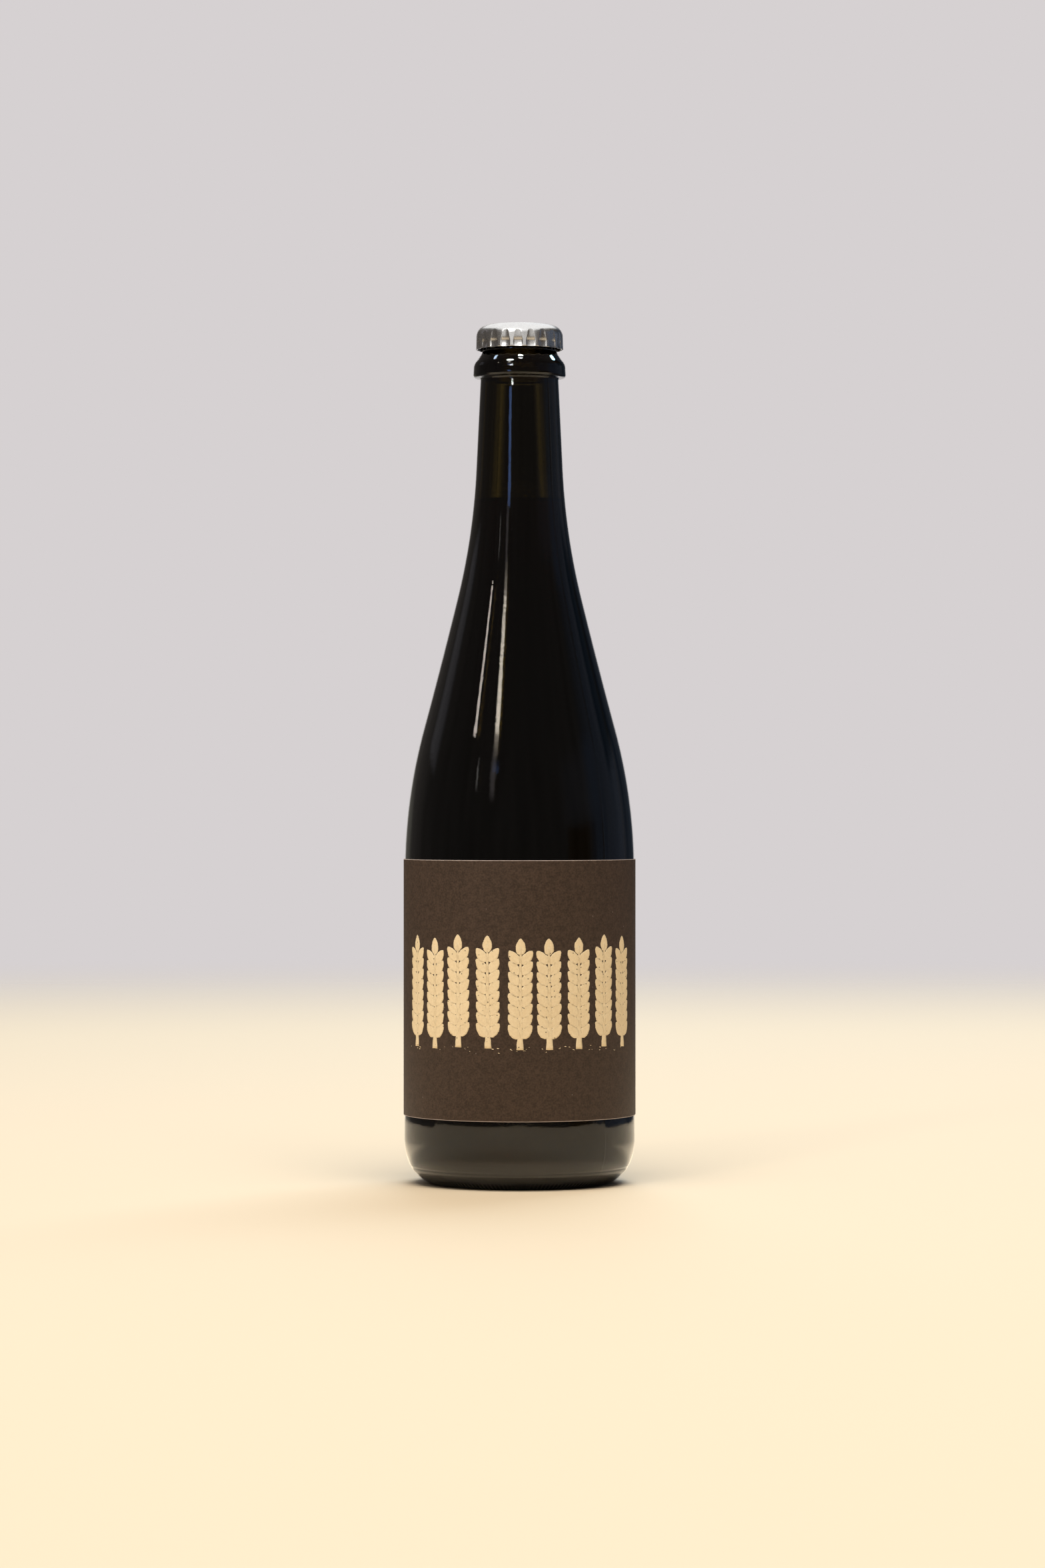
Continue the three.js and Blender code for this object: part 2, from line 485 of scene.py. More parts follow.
def neck_to(z, inset=0):
    """The neck from the flank's last point up to a height."""
    return line(flank(inset, BODY_TOP)[-1], (neck_radius(z, inset), z), 8)


print(f"slope from {slope_start_z:.1f} to {SLOPE_END}, neck from {sweep_z:.1f} up")

# %% [markdown]
# ## Foot, collar and mouth
#
# The bottle stands on a narrow ring round a hollow that is pushed up into its base, as bottles
# for sparkling drinks do. A little above the foot, the base plate of the mould met its two
# halves and left a fine ring in the glass. It is a groove of about a quarter of a millimetre,
# and below it the plate's edge turns in by nearly half a millimetre, so that the foot stays in
# its own shade. Under the cap is a thick collar, widest at its foot, with a hollow cone above it.

# %% The outline of the glass
FOOT_IN = 29.3
FOOT_OUT = 31.5
FOOT_ROUND = 1.0
HEEL_HEIGHT = 16
PUNT_HEIGHT = 22
BASE_THICK = 9
PUNT_THICK = 9
INNER_HEEL_R = 9
BASE_RING_Z = 6.2
BASE_RING_DEPTH = 0.23
BASE_RING_HALF_WIDTH = 0.36
BASE_PLATE_TOP = 5.2  # below this the base plate's edge turns in
BASE_PLATE_RUN = 2.6
BASE_PLATE_IN = 0.45

BEAD_FOOT_R = 17.1  # the collar's side is widest at its foot
BEAD_R = 16.95
BEAD_LOW = 298.3
BEAD_HIGH = 300.85
BEAD_UNDER_R = 1.05
BEAD_UNDER_Z = 297.25
BEAD_OVER_R = 4
BEAD_CORNER_R = 0.9
NECK_SHORT = 0.2  # the neck's line ends this far below the corner under the collar
CONE_LOW_DEG = 38  # lean of the collar's top where it starts, and where it meets the throat
CONE_HIGH_DEG = 31
CONE_FOOT_R = 0.9
THROAT_R = 13.73
LIP_ROUND = 3
MOUTH_R = 8.75
MOUTH_ROUND = 0.8
FINISH_LOW = 300


def punt():
    """The hollow under the base, from the axis to the ring the bottle stands on."""
    hollow_radius = (FOOT_IN**2 + PUNT_HEIGHT**2) / (2 * PUNT_HEIGHT)
    centre_z = PUNT_HEIGHT - hollow_radius
    touch = math.degrees(math.asin((FOOT_ROUND - centre_z) / (hollow_radius + FOOT_ROUND)))
    round_r = (hollow_radius + FOOT_ROUND) * math.cos(math.radians(touch))
    hollow = arc(0, centre_z, hollow_radius, hollow_radius, 90, touch, 30)
    rounding = arc(round_r, FOOT_ROUND, FOOT_ROUND, FOOT_ROUND, 180 + touch, 270, 6)
    return hollow + rounding[1:]


def heel():
    """The curve from the foot out to the body, with the base plate's groove and edge in it."""
    points = []
    for r, z in arc(FOOT_OUT, HEEL_HEIGHT, BODY_R - FOOT_OUT, HEEL_HEIGHT, -90, 0, 110):
        dip = math.exp(-(((z - BASE_RING_Z) / BASE_RING_HALF_WIDTH) ** 2))
        below = 1 - smooth_step(z, BASE_PLATE_TOP - BASE_PLATE_RUN, BASE_PLATE_RUN)
        points.append((r - BASE_RING_DEPTH * dip - BASE_PLATE_IN * below, z))
    return points


def collar():
    """From the neck out round the collar's lower edge, up its side and in to the throat."""
    corner_r = neck_radius(NECK_TOP) + BEAD_CORNER_R
    corner = arc(corner_r, BEAD_UNDER_Z - BEAD_CORNER_R, BEAD_CORNER_R, BEAD_CORNER_R, 180, 90, 8)
    under_r = BEAD_FOOT_R - BEAD_UNDER_R
    under = arc(under_r, BEAD_LOW, BEAD_UNDER_R, BEAD_LOW - BEAD_UNDER_Z, -88, 0, 14)
    over = arc(BEAD_R - BEAD_OVER_R, BEAD_HIGH, BEAD_OVER_R, BEAD_OVER_R, 0, CONE_LOW_DEG, 16)

    low, high = math.radians(CONE_LOW_DEG), math.radians(CONE_HIGH_DEG)
    top_r, top_z = over[-1]
    foot_width = CONE_FOOT_R * (1 - math.cos(high))
    cone_r = (top_r - THROAT_R - foot_width) / (math.cos(high) - math.cos(low))
    centre = (top_r + cone_r * math.cos(low), top_z + cone_r * math.sin(low))
    cone = arc(*centre, cone_r, cone_r, 180 + CONE_LOW_DEG, 180 + CONE_HIGH_DEG, 12)
    foot_z = cone[-1][1] + CONE_FOOT_R * math.sin(high)
    foot = arc(THROAT_R + CONE_FOOT_R, foot_z, CONE_FOOT_R, CONE_FOOT_R, 180 + CONE_HIGH_DEG, 180, 10)
    return corner + under + line(under[-1], over[0], 4) + over[1:] + cone[1:] + foot[1:]


def inside_bottom(inset):
    """The inside bottom, from the axis over the punt's dome and up to the inside of the wall."""
    trough_r = BODY_R - WALL - INNER_HEEL_R
    lift = inset - WALL
    over_punt = dome(trough_r, BASE_THICK + lift, PUNT_HEIGHT + PUNT_THICK + lift, 24)
    wide = BODY_R - inset - trough_r
    trough = arc(trough_r, BASE_THICK + INNER_HEEL_R, wide, INNER_HEEL_R - lift, -90, 0, 20)
    return over_punt + trough[1:]


def glass_outline():
    outside = [(r - set_in(z), z) for r, z in flank(0, HEEL_HEIGHT)]
    inside = flank(WALL, BASE_THICK + INNER_HEEL_R)
    lip = arc(THROAT_R - LIP_ROUND, LIP_TOP - LIP_ROUND, LIP_ROUND, LIP_ROUND, 0, 90, 8)
    mouth = arc(MOUTH_R + MOUTH_ROUND, LIP_TOP - MOUTH_ROUND, MOUTH_ROUND, MOUTH_ROUND, 90, 180, 4)
    inner_wall = [(MOUTH_R, FINISH_LOW), *reversed(inside + neck_to(NECK_TOP, WALL))]
    return [
        *punt(),
        *heel(),
        *outside[1:],
        *neck_to(BEAD_UNDER_Z - BEAD_CORNER_R - NECK_SHORT),
        *collar(),
        *lip,
        *mouth,
        *inner_wall,
        *reversed(inside_bottom(WALL)[:-1]),
    ]


print("outline of the glass:", len(glass_outline()), "points")

# %% [markdown]
# ## What the mould leaves in the glass
#
# A blown bottle isn't as true as a turned one. The two halves of the mould leave an upright seam
# on each side, and the skin of the glass wavers by a few hundredths of a millimetre, which is
# what makes the edges of a mirrored lamp uneven. Both are small moves in or out along the radius.
# They could be bumps in the material, but as real shape they would also stay in an exported mesh.

# %% The tree that adds seams and unevenness
SEAM_AZIMUTH = 46.7
SEAM_SIZES = {
    "Seam azimuth": math.radians(SEAM_AZIMUTH),
    "Seam height": 0.09 * MM,
    "Seam half width": 0.3 * MM,
    "Seam top": BEAD_LOW * MM,
    "Waver": 0.05 * MM,
    "Waves to a metre": 28.0,
    "Heel waver": 0.34 * MM,
    "Heel waves": 45.0,
}


def build_mould_marks():
    tree, given, fields = start_tree("mould marks", SEAM_SIZES)
    seam_azimuth, seam_height, seam_half_width, seam_top, waver, waves, heel_waver, heel_waves = fields
    position = tree.nodes.new("GeometryNodeInputPosition").outputs[0]
    x, y, z = parts_of(tree, position)
    normal = tree.nodes.new("GeometryNodeInputNormal").outputs[0]
    wires = {0: vector_of(tree, x, y, 0.0)}
    radial = add_node(tree, "ShaderNodeVectorMath", wires, operation="NORMALIZE")
    wires = {0: normal, 1: radial.outputs[0]}
    facing = add_node(tree, "ShaderNodeVectorMath", wires, operation="DOT_PRODUCT")
    outer = Field(tree, facing.outputs["Value"]).ramp(0.3, 0.7)

    across = x * seam_azimuth.cos() + y * seam_azimuth.sin()
    seam = seam_height * (-1 * (across / seam_half_width) ** 2).exp()
    seam = seam * (1 - z.ramp(seam_top - 3 * MM, seam_top))
    uneven = waver * (noise(tree, position, waves, 1.0) - 0.5)
    at_heel = z.ramp(5 * MM, 12 * MM) * (1 - z.ramp(30 * MM, 50 * MM))
    uneven = uneven + heel_waver * at_heel * (noise(tree, position, heel_waves, 1.0) - 0.5)
    step = scaled(tree, radial.outputs[0], (seam + uneven) * outer)
    end_tree(tree, move(tree, given["Geometry"], Offset=step), given["Finish"])
    return tree


MOULD_MARKS = build_mould_marks()

# %% [markdown]
# ## Glass that is nearly black
#
# The bottle is a very dark olive brown. What lets light through a few millimetres of it is a
# clear surface over a body that absorbs: two walls pass less than one part in a hundred, a little
# more red than green and hardly any blue, so the empty part of the neck has an olive glow and the
# rest is black. Painting the surface black would lose that, and the thick rim at the foot. A fine
# orange peel bump roughens the edges of mirrored lamps. On the foot is the stippling that
# keeps a hot bottle from sticking to the conveyor.

# %% The finish of the glass
GLASS_IOR = 1.52
GLASS_TINT = (0.504, 0.456, 0.22, 1.0)
GLASS_DENSITY = 700.0
PEEL_WAVES = 620.0
STIPPLE_COUNT = 150
STIPPLE_TOP = (1.6, 2.6)  # it fades out between these heights


def absorbing(name, roughness, ior, tint, density):
    """A finish with a clear surface, over a body that takes up light with depth."""
    finish, tree, shader, place = new_finish(
        name,
        Base_Color=(1, 1, 1, 1),
        Roughness=roughness,
        IOR=ior,
        Transmission_Weight=1.0,
    )
    wires = {"Color": tint, "Density": density}
    absorption = add_node(tree, "ShaderNodeVolumeAbsorption", wires)
    tree.links.new(absorption.outputs[0], tree.nodes["Material Output"].inputs["Volume"])
    return finish, tree, shader, place


def dark_glass():
    finish, tree, shader, place = absorbing("dark_glass", 0.02, GLASS_IOR, GLASS_TINT, GLASS_DENSITY)
    x, y, z = parts_of(tree, place)
    azimuth = x.maths("ARCTAN2", x, -1 * y)
    radius = (x * x + y * y) ** 0.5
    low_down = 1 - z.ramp(STIPPLE_TOP[0] * MM, STIPPLE_TOP[1] * MM)
    on_foot = low_down * radius.ramp(FOOT_OUT * MM, (FOOT_OUT + 1) * MM)
    stipple = (azimuth * STIPPLE_COUNT).sin() * on_foot
    peel = noise(tree, place, PEEL_WAVES, 1.0) + 0.5 * noise(tree, place, PEEL_WAVES / 4, 1.0)
    fine_peel = 0.25 * noise(tree, place, PEEL_WAVES * 4, 1.0)
    add_bump(tree, shader, peel + fine_peel + 8 * stipple, 0.012)
    return finish


# %% Make the glass
GLASS_SIDES = 192
GLASS_CROWDING = 0.85

glass = run_trees(
    "bottle_dark_glass",
    outline_mesh("glass_outline", glass_outline()),
    [
        (
            TURNING,
            {
                "Sides": GLASS_SIDES,
                "Crowding": GLASS_CROWDING,
                "Crowded azimuth": math.radians(SEAM_AZIMUTH),
            },
        ),
        (MOULD_MARKS, SEAM_SIZES),
    ],
    dark_glass(),
)
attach(glass, "root")
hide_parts("bottle_glass")

# %% [markdown]
# ## The beer
#
# Where a drink touches glass there is no air between them. A gap, or two surfaces in exactly the
# same place, shows as a bright skin. So the beer reaches a tenth of a millimetre into the wall. It
# creeps up the wall a little at its surface. It is a dark beer, clear but strongly absorbing.

# %% Make the beer
INTO_WALL = 0.1
CREEP = 1.2
BEER_IOR = 1.34
BEER_TINT = (0.45, 0.12, 0.03, 1.0)
BEER_DENSITY = 260.0
BEER_SIDES = 96


def beer_outline():
    inset = WALL - INTO_WALL
    surface_deg = math.degrees(math.asin((sweep_z - FILL_LEVEL) / (SWEEP_R + inset)))
    skin = flank(inset, BASE_THICK + INNER_HEEL_R, surface_deg)
    edge_r, edge_z = skin[-1]
    creep = arc(edge_r - CREEP, edge_z, CREEP, CREEP, 0, -90, 6)
    surface = line(creep[-1], (0, edge_z - CREEP), 6)
    return [*inside_bottom(inset), *skin[1:], *creep[1:], *surface]


dark_beer, *_ = absorbing("dark_beer", 0.0, BEER_IOR, BEER_TINT, BEER_DENSITY)
beer = run_trees(
    "beer_up_to_neck",
    outline_mesh("beer_outline", beer_outline()),
    [(TURNING, {"Sides": BEER_SIDES})],
    dark_beer,
)
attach(beer, "root")
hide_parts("beer")

# %% [markdown]
# ## The crown cap
#
# A crown cap starts as a flat disc of tinplate that is pressed into a shallow cup. Closing it on
# the bottle folds its skirt into 21 flutes: narrow ridges with wider, slightly hollow panels
# between them, pressed in against the glass. A little above the hem is a waist, and below it the
# hem flares out. So the cup is turned first, and a second tree says how wide a folded skirt may
# be at each azimuth and height, and moves every point that is further out than that inwards.
# Where the dome is narrower than the panels it stays as it is, so each panel ends in an arch by
# itself. The tree also keeps how far each point was pressed in, as an attribute for the finish.

# %% The outline of the cup
DOME_ROUND = 4.4
DOME_CENTRE_R = 11.55
HEM_R = 16.1
CAP_THICK = 0.4
HEM_ROUND = CAP_THICK / 2
DOME_RISE = 0.12


def cap_outline():
    """Inside from the axis down to the hem, and outside up to the axis again."""
    dome_z = CAP_TOP - DOME_ROUND
    hem_r = HEM_R - HEM_ROUND
    inner_round = DOME_ROUND - CAP_THICK
    top_z = CAP_TOP - DOME_RISE
    inner_top = line((0, CAP_TOP - CAP_THICK), (DOME_CENTRE_R, top_z - CAP_THICK), 6)
    inner = arc(DOME_CENTRE_R, dome_z, inner_round, inner_round - DOME_RISE, 90, 0, 14)
    inner_skirt = line(inner[-1], (hem_r - HEM_ROUND, HEM_Z + HEM_ROUND), 16)
    hem = arc(hem_r, HEM_Z + HEM_ROUND, HEM_ROUND, HEM_ROUND, 180, 360, 8)
    outer = arc(DOME_CENTRE_R, dome_z, DOME_ROUND, DOME_ROUND - DOME_RISE, 0, 90, 24)
    outer_skirt = line(hem[-1], outer[0], 24)
    outer_top = [
        (DOME_CENTRE_R * math.cos(a), top_z + DOME_RISE * math.sin(a))
        for a in (math.radians(90 * i / 8) for i in range(1, 9))
    ]
    return [
        (0, CAP_TOP - CAP_THICK),
        *inner_top,
        *inner[1:],
        *inner_skirt,
        *hem[1:],
        *outer_skirt,
        *outer[1:],
        *outer_top,
    ]


# %% The tree that crimps the skirt
CRIMP_SIZES = {
    "Flutes": 21,
    "Panel radius": 15.72 * MM,
    "Panel bulge": 0.04 * MM,
    "Panel hollow": 0.3 * MM,
    "Ridge radius": 16.3 * MM,
    "Ridge start": 0.66,
    "Ridge width": 0.27,
    "Ridge taper": 0.36,
    "First panel azimuth": math.radians(-2),
    "Arch height": 313.8 * MM,
    "Bulge height": 311.4 * MM,
    "Waist height": 309.7 * MM,
    "Waist depth": 0.25 * MM,
    "Waist above": 1.0 * MM,
    "Hem flare": 0.3 * MM,
    "Hem height": HEM_Z * MM,
    "Fold rounding": 0.12 * MM,
    "Wall": CAP_THICK * MM,
}
FULLY_PRESSED = 0.8  # where the attribute for the finish reaches 1


def build_crimping():
    tree, given, fields = start_tree("crimping", CRIMP_SIZES)
    flutes, panel, bulge, hollow, ridge_radius, ridge_start, ridge_width, taper, first = fields[:9]
    arch_z, bulge_z, waist_z, waist, waist_above, flare, hem_z, rounding, wall = fields[9:]
    position = tree.nodes.new("GeometryNodeInputPosition").outputs[0]
    normal = tree.nodes.new("GeometryNodeInputNormal").outputs[0]
    x, y, z = parts_of(tree, position)
    normal_x, normal_y, _ = parts_of(tree, normal)
    radius = (x * x + y * y) ** 0.5
    azimuth = x.maths("ARCTAN2", x, -1 * y)
    inside = (-1 * (x * normal_x + y * normal_y)).above(0.0)

    wave = 0.5 - 0.5 * (flutes * (azimuth - first)).cos()
    start = ridge_start - taper * z.ramp(waist_z, arch_z)
    ridge = wave.ramp(start, start + ridge_width)
    to_bulge = (z - bulge_z) / (arch_z - bulge_z)
    to_waist = z - waist_z
    past_waist = to_waist.above(0.0) * to_waist / waist_above
    narrowed = waist * (-1 * past_waist * past_waist).exp()
    to_hem = (1 - to_waist.above(0.0)) * to_waist / (waist_z - hem_z)
    bulging = panel + hollow * wave - bulge * to_bulge * to_bulge * to_bulge.above(0.0)
    flat = bulging - narrowed + flare * to_hem * to_hem
    skirt = flat + (ridge_radius - flat) * ridge
    outer_radius = radius + inside * wall
    folded = outer_radius.at_most(skirt, rounding) - inside * wall
    pressed = (radius - folded) / (FULLY_PRESSED * MM)
    factor = folded / (radius + 0.001 * MM)
    spot = vector_of(tree, x * factor, y * factor, z)
    kept = add_node(
        tree,
        "GeometryNodeStoreNamedAttribute",
        {0: given["Geometry"], "Name": "pressed_in", "Value": pressed},
        data_type="FLOAT",
    )
    end_tree(tree, move(tree, kept.outputs[0], Position=spot), given["Finish"])
    return tree


CRIMPING = build_crimping()

# %% [markdown]
# ## Tinplate
#
# The cap is bare metal with a satin finish, so it is a metal in Blender's sense: no diffuse
# colour, only reflection. It isn't one flat grey. The rolling of the sheet leaves a fine grain,
# and handling leaves slightly rougher patches. The panels get painted shade: the further a point
# was pressed in, the darker its tint. All three change the roughness or the tint only slightly.

# %% The finish of the cap, and the cap
TIN_BRIGHT = shade(222, 221, 219)
TIN_DULL = shade(188, 186, 183)
# painted shade: a darker tint for the panels that were pressed in furthest
TIN_PANEL_SHADE = shade(140, 134, 126)


def tinplate():
    finish, tree, shader, place = new_finish("tinplate", Metallic=1.0)
    mask, height = place_grain(tree, place, fine=2600.0, broad=160.0, contrast=1.6)
    attribute = add_node(tree, "ShaderNodeAttribute", attribute_name="pressed_in")
    pressed = Field(tree, attribute.outputs["Fac"])
    plain = mix_colours(tree, mask, TIN_BRIGHT, TIN_DULL)
    # painted shade, darker where the skirt was pressed in further
    colour = mix_colours(tree, 0.35 * pressed, plain, TIN_PANEL_SHADE)
    tree.links.new(colour, shader.inputs["Base Color"])
    tree.links.new((0.2 + 0.12 * mask).socket, shader.inputs["Roughness"])
    add_bump(tree, shader, height, 0.004)
    return finish


cap = run_trees(
    "crown_cap_crimped",
    outline_mesh("cap_outline", cap_outline()),
    [
        (TURNING, {"Sides": CRIMP_SIZES["Flutes"] * 24}),
        (CRIMPING, CRIMP_SIZES),
    ],
    tinplate(),
)
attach(cap, "root")
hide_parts("crown_cap")

# %% [markdown]
# ## The label
#
# The label is one strip of stiff uncoated paper, wrapped round the body and open along a narrow
# strip behind. In Geometry Nodes that is a rounded strip carried along an arc: Curve to Mesh with
# its ends filled. The paper is printed dark brown all over, and where it was cut, the pale stock
# shows through as a fine line.

# %% The tree that wraps a strip
LABEL_THICK = 0.3
LABEL_OUTER_R = BODY_R + 0.35
LABEL_OPEN_FROM = 202.5
LABEL_OPEN_TO = 217.5
LABEL_SIZES = {
    "Outer radius": LABEL_OUTER_R * MM,
    "Thickness": LABEL_THICK * MM,
    "Low": LABEL_LOW * MM,
    "High": LABEL_HIGH * MM,
    "Open from": math.radians(LABEL_OPEN_FROM),
    "Open to": math.radians(LABEL_OPEN_TO),
    "Edge round": 0.12 * MM,
}


def build_wrapping():
    tree, given, fields = start_tree("wrapping", LABEL_SIZES)
    outer_radius, thickness, low, high, open_from, open_to, edge_round = fields
    sheet = add_node(tree, "GeometryNodeCurvePrimitiveQuadrilateral", {0: thickness, 1: high - low})
    corners = add_node(
        tree,
        "GeometryNodeFilletCurve",
        {0: sheet.outputs[0], "Count": 3, "Radius": edge_round},
        mode="POLY",
    )
    wires = {
        "Resolution": 240,
        "Radius": outer_radius - thickness / 2,
        "Start Angle": open_to - 2 * math.pi - math.pi / 2,
        "Sweep Angle": 2 * math.pi - (open_to - open_from),
    }
    way = add_node(tree, "GeometryNodeCurveArc", wires, mode="RADIUS")
    upright = add_node(tree, "GeometryNodeSetCurveNormal", {0: way.outputs[0]}, mode="Z_UP")
    strip = add_node(
        tree,
        "GeometryNodeCurveToMesh",
        {0: upright.outputs[0], 1: corners.outputs[0], "Fill Caps": True},
    )
    lifted = move(tree, strip.outputs[0], Offset=vector_of(tree, 0.0, 0.0, (low + high) / 2))
    end_tree(tree, lifted, given["Finish"])
    return tree


# %% [markdown]
# ## Brown paper
#
# Uncoated paper scatters light evenly, with a faint sheen where it is seen edge on. Close up it
# has a fine pale grain, where fibres stand through the print, and a broader cloudiness. A few
# lint specks are lighter still. The two long edges get their pale line from the height of each
# point, made slightly uneven by noise.

# %% The finish of the paper, and the label
PAPER_DEEP = shade(53, 41, 32)
PAPER_PALE = shade(73, 57, 46)
PAPER_STOCK = shade(176, 160, 150)
EDGE_LINE = 0.2
LINT_WAVES = 260.0
LINT_RIM = (0.03, 0.07)  # a speck fades out between these distances from its middle
LINT_RARITY = 0.8  # the share of places without a speck


def brown_paper():
    finish, tree, shader, place = new_finish("brown_paper", Roughness=0.62, Specular_IOR_Level=0.3)
    mask, height = place_grain(tree, place, fine=1500.0, broad=500.0, contrast=4.0)
    brown = mix_colours(tree, mask, PAPER_DEEP, PAPER_PALE)
    cells = add_node(tree, "ShaderNodeTexVoronoi", {"Vector": place, "Scale": LINT_WAVES})
    pick, _, _ = parts_of(tree, cells.outputs["Color"])
    lint = (1 - Field(tree, cells.outputs["Distance"]).ramp(*LINT_RIM)) * pick.above(LINT_RARITY)
    brown = mix_colours(tree, 0.35 * lint, brown, PAPER_STOCK)
    _, _, z = parts_of(tree, place)
    middle = (LABEL_LOW + LABEL_HIGH) / 2
    half = (LABEL_HIGH - LABEL_LOW) / 2
    to_edge = half * MM - (z - middle * MM).size()
    ragged = EDGE_LINE * MM * (0.4 + 1.2 * noise(tree, place, 900.0))
    at_edge = (ragged - to_edge).ramp(-0.05 * MM, 0.05 * MM)
    colour = mix_colours(tree, at_edge, brown, PAPER_STOCK)
    tree.links.new(colour, shader.inputs["Base Color"])
    add_bump(tree, shader, height, 0.03)
    return finish


label = run_trees(
    "label_paper",
    bpy.data.meshes.new("empty"),
    [(build_wrapping(), LABEL_SIZES)],
    brown_paper(),
)
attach(label, "root")
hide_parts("label")

# %% [markdown]
# ## The print
#
# The front of the label carries a block-printed row of barley ears in cream ink. Ink is far
# thinner than paper, but as a shape of its own it keeps a crisp edge at any distance, which a
# texture wouldn't. The tree works flat and wraps last: one grain is a small grid squeezed into a
# pointed oval, grains are set on both sides of a stem, ears are set in a row, noise makes every
# edge a little ragged as a worn block would, and then the flat row is bent round the label. Each
# grain is a grid rather than one large face, so that it can follow the bend.

# %% Sizes of the print
PRINT_LOW = 51.6
PRINT_SIZES = {
    "Ears": 9,
    "Pitch": 11.4 * MM,
    "Low": PRINT_LOW * MM,
    "Grain pairs": 8,
    "Grain step": 3.85 * MM,
    "Grain length": 6.1 * MM,
    "Grain width": 3.1 * MM,
    "Spread": 2.4 * MM,
    "Lean": math.radians(37),
    "Stem length": 6.6 * MM,
    "Stem width": 1.9 * MM,
    "Raggedness": 0.34 * MM,
    "Wrap radius": (LABEL_OUTER_R + 0.01) * MM,
    "Ink thickness": 0.03 * MM,
    "Crumbs": 40,
    "Seed": 5,
}
RAGGED_WAVES = 700.0
NOISE_SHIFT = 1.0  # metres aside, where the same noise is unlike the noise here
WELD = 0.002


# %% The tree that prints
def oval(tree, length, width, rows=22, columns=6):
    """A flat grid squeezed into an oval that is pointed above and fullest below its middle."""
    wires = {"Size X": 2.0, "Size Y": 2.0, "Vertices X": columns + 1, "Vertices Y": rows + 1}
    grid = add_node(tree, "GeometryNodeMeshGrid", wires).outputs["Mesh"]
    u, v, _ = parts_of(tree, tree.nodes.new("GeometryNodeInputPosition").outputs[0])
    half_width = width / 2 * (1.0001 - v * v) ** 0.62 * (1.12 - 0.28 * v)
    return move(tree, grid, Position=vector_of(tree, u * half_width, 0.0, v * length / 2))


def points_at(tree, count, x, z):
    wires = {"Count": count, "Position": vector_of(tree, x, 0.0, z)}
    return add_node(tree, "GeometryNodePoints", wires).outputs[0]


def set_along(tree, points, shape, rotation, scale=None):
    wires = {0: points, "Instance": shape, "Rotation": rotation}
    if scale is not None:
        wires["Scale"] = scale
    placed = add_node(tree, "GeometryNodeInstanceOnPoints", wires)
    return add_node(tree, "GeometryNodeRealizeInstances", {0: placed.outputs[0]}).outputs[0]


def chance(tree, low, high, seed, salt):
    """A random number for each point."""
    wires = {2: low, 3: high, "Seed": seed + salt}
    made = add_node(tree, "FunctionNodeRandomValue", wires, data_type="FLOAT")
    return Field(tree, made.outputs[1])


